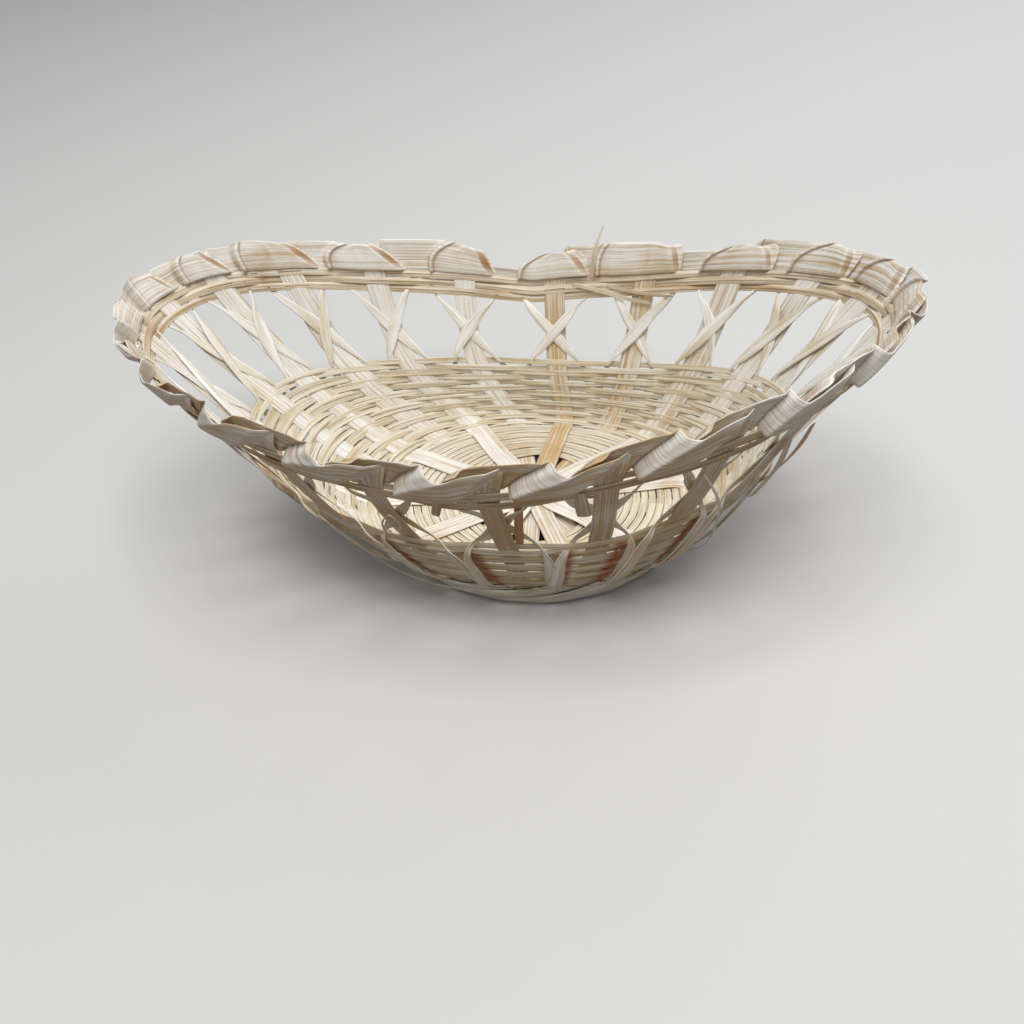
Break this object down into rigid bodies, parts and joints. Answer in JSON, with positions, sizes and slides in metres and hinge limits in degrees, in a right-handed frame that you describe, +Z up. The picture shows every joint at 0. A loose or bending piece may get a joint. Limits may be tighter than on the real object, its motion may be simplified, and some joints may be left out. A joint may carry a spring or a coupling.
{
  "type": "woven basket",
  "caption": "Small oval basket woven from flat split strips, with a flared open wall of crossed lacing, a folded wavy border and a low foot ring.",
  "frame": {"origin": "under the middle of the rim's length and width, on the surface that the basket stands on", "axes": "+X along the basket's length towards its higher end, +Y across it, +Z up"},
  "size_m": [0.266, 0.1446, 0.107],
  "materials": {
    "split_strip": "satin, split bamboo with a fine lengthwise grain",
    "weaver": "satin, thin split weaver",
    "band": "satin, thin split weaver, a little browner",
    "lacing": "satin, narrow split strip",
    "foot": "satin, pale greenish cream split strip"
  },
  "bodies": {
    "root": {"stake_01": "split_strip", "stake_02": "split_strip", "stake_03": "split_strip", "stake_04": "split_strip", "stake_05": "split_strip", "stake_06": "split_strip", "stake_07": "split_strip", "stake_08": "split_strip", "stake_09": "split_strip", "stake_10": "split_strip", "stake_11": "split_strip", "stake_12": "split_strip", "stake_13": "split_strip", "stake_14": "split_strip", "stake_15": "split_strip", "stake_16": "split_strip", "stake_17": "split_strip", "stake_18": "split_strip", "stake_19": "split_strip", "stake_20": "split_strip", "stake_21": "split_strip", "floor_weaver_1": "weaver", "floor_weaver_2": "weaver", "floor_weaver_3": "weaver", "floor_weaver_4": "weaver", "wall_weaver_01": "weaver", "wall_weaver_02": "weaver", "wall_weaver_03": "weaver", "wall_weaver_04": "weaver", "wall_weaver_05": "weaver", "wall_weaver_06": "weaver", "wall_weaver_07": "weaver", "wall_weaver_08": "weaver", "wall_weaver_09": "weaver", "wall_weaver_10": "weaver", "bowl_edge_weaver": "weaver", "band_weaver_1": "band", "band_weaver_2": "band", "band_weaver_3": "band", "lacing_strip_1": "lacing", "lacing_strip_2": "lacing", "lacing_strip_3": "lacing", "lacing_strip_4": "lacing", "lacing_strip_5": "lacing", "lacing_strip_6": "lacing", "lacing_strip_7": "lacing", "foot_strand_1": "foot", "foot_strand_2": "foot", "foot_strand_3": "foot", "foot_strand_4": "foot"}
  },
  "joints": []
}
